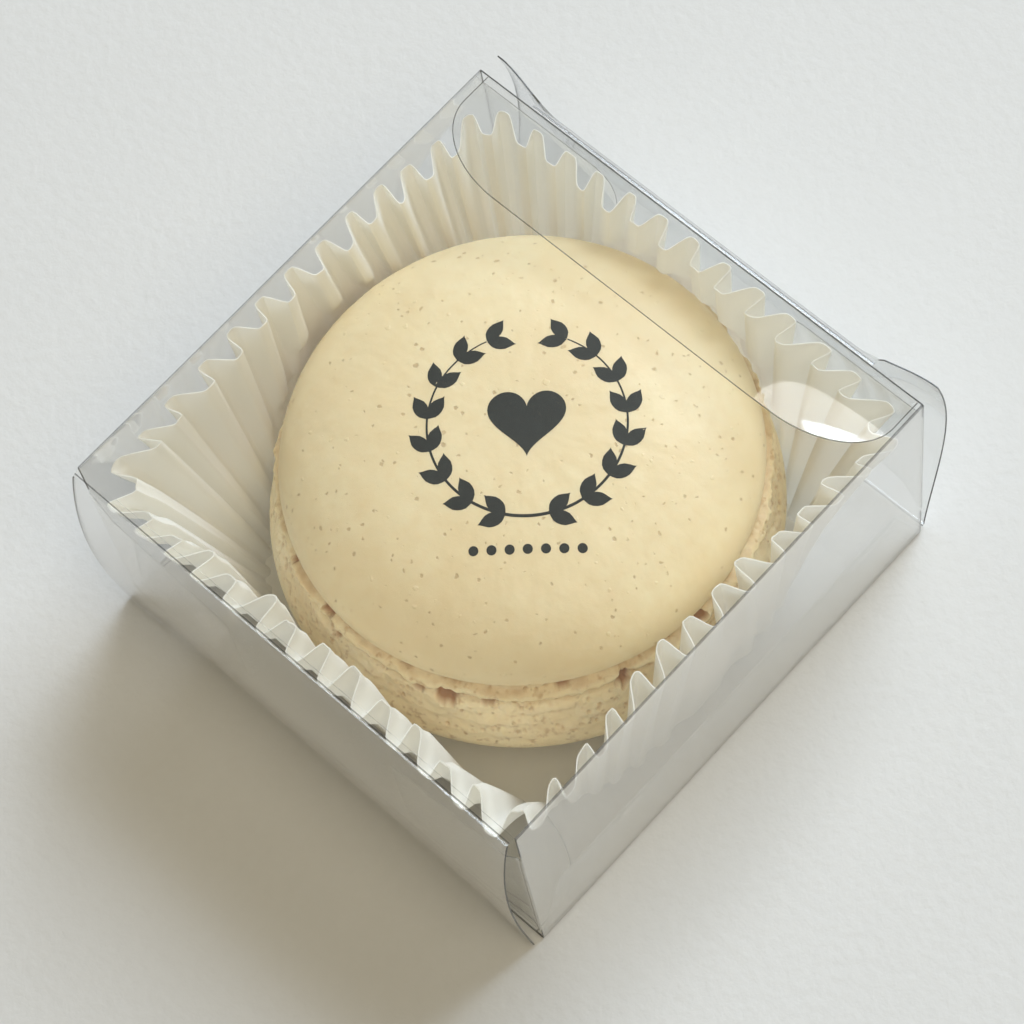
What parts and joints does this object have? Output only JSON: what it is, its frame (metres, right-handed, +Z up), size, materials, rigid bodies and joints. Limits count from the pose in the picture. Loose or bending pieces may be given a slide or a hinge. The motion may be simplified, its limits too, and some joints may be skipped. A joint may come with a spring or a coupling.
{
  "type": "macaron favour box",
  "caption": "Clear film carton with tuck ends, holding a pleated paper cup and a sandwich macaron with a printed ornament.",
  "frame": {"origin": "on the supporting surface, at the middle of the closed carton's footprint", "axes": "+Z up through the lid panel; +X along the tube towards the end whose panel folds down from the base; +Y towards the side wall without the glued tab"},
  "size_m": [0.0556, 0.05, 0.0264],
  "materials": {
    "film": "clear gloss film",
    "liner_paper": "thin waxed paper, pleated",
    "macaron_shell": "matt baked meringue",
    "filling": "dry crumb",
    "print": "flat edible ink"
  },
  "bodies": {
    "carton": {"sleeve": "film", "liner": "liner_paper", "bottom_shell": "macaron_shell", "filling": "filling", "top_shell": "macaron_shell"},
    "front_panel": {"front_end_panel": "film"},
    "front_tuck": {"front_tuck_flap": "film"},
    "front_dust_left": {"front_dust_flap_left": "film"},
    "front_dust_right": {"front_dust_flap_right": "film"},
    "rear_panel": {"rear_end_panel": "film"},
    "rear_tuck": {"rear_tuck_flap": "film"},
    "rear_dust_left": {"rear_dust_flap_left": "film"},
    "rear_dust_right": {"rear_dust_flap_right": "film"}
  },
  "joints": [
    {"name": "front_panel_fold", "type": "hinge", "parent": "carton", "child": "front_panel", "pos_m": [0.02495, 0, 0.00013], "axis": [0, 1, 0], "range_deg": [0, 75]},
    {"name": "front_tuck_fold", "type": "hinge", "parent": "front_panel", "child": "front_tuck", "pos_m": [0.02495, 0, 0.02562], "axis": [0, 1, 0], "range_deg": [-45, 0]},
    {"name": "front_dust_left_fold", "type": "hinge", "parent": "carton", "child": "front_dust_left", "pos_m": [0.0244, 0.02445, 0.0132], "axis": [0, 0, 1], "range_deg": [0, 37.5]},
    {"name": "front_dust_right_fold", "type": "hinge", "parent": "carton", "child": "front_dust_right", "pos_m": [0.0244, -0.02445, 0.0132], "axis": [0, 0, -1], "range_deg": [0, 37.5]},
    {"name": "rear_panel_fold", "type": "hinge", "parent": "carton", "child": "rear_panel", "pos_m": [-0.0259, 0, 0.02627], "axis": [0, 1, 0], "range_deg": [0, 105]},
    {"name": "rear_tuck_fold", "type": "hinge", "parent": "rear_panel", "child": "rear_tuck", "pos_m": [-0.0259, 0, 0.00077], "axis": [0, 1, 0], "range_deg": [-63, 0]},
    {"name": "rear_dust_left_fold", "type": "hinge", "parent": "carton", "child": "rear_dust_left", "pos_m": [-0.02535, 0.02445, 0.0132], "axis": [0, 0, -1], "range_deg": [0, 52.5]},
    {"name": "rear_dust_right_fold", "type": "hinge", "parent": "carton", "child": "rear_dust_right", "pos_m": [-0.02535, -0.02445, 0.0132], "axis": [0, 0, 1], "range_deg": [0, 52.5]}
  ],
  "couplings": [
    {"joint": "front_tuck_fold", "follows": "front_panel_fold", "ratio": -0.6},
    {"joint": "front_dust_left_fold", "follows": "front_panel_fold", "ratio": 0.5},
    {"joint": "front_dust_right_fold", "follows": "front_panel_fold", "ratio": 0.5},
    {"joint": "rear_tuck_fold", "follows": "rear_panel_fold", "ratio": -0.6},
    {"joint": "rear_dust_left_fold", "follows": "rear_panel_fold", "ratio": 0.5},
    {"joint": "rear_dust_right_fold", "follows": "rear_panel_fold", "ratio": 0.5}
  ]
}
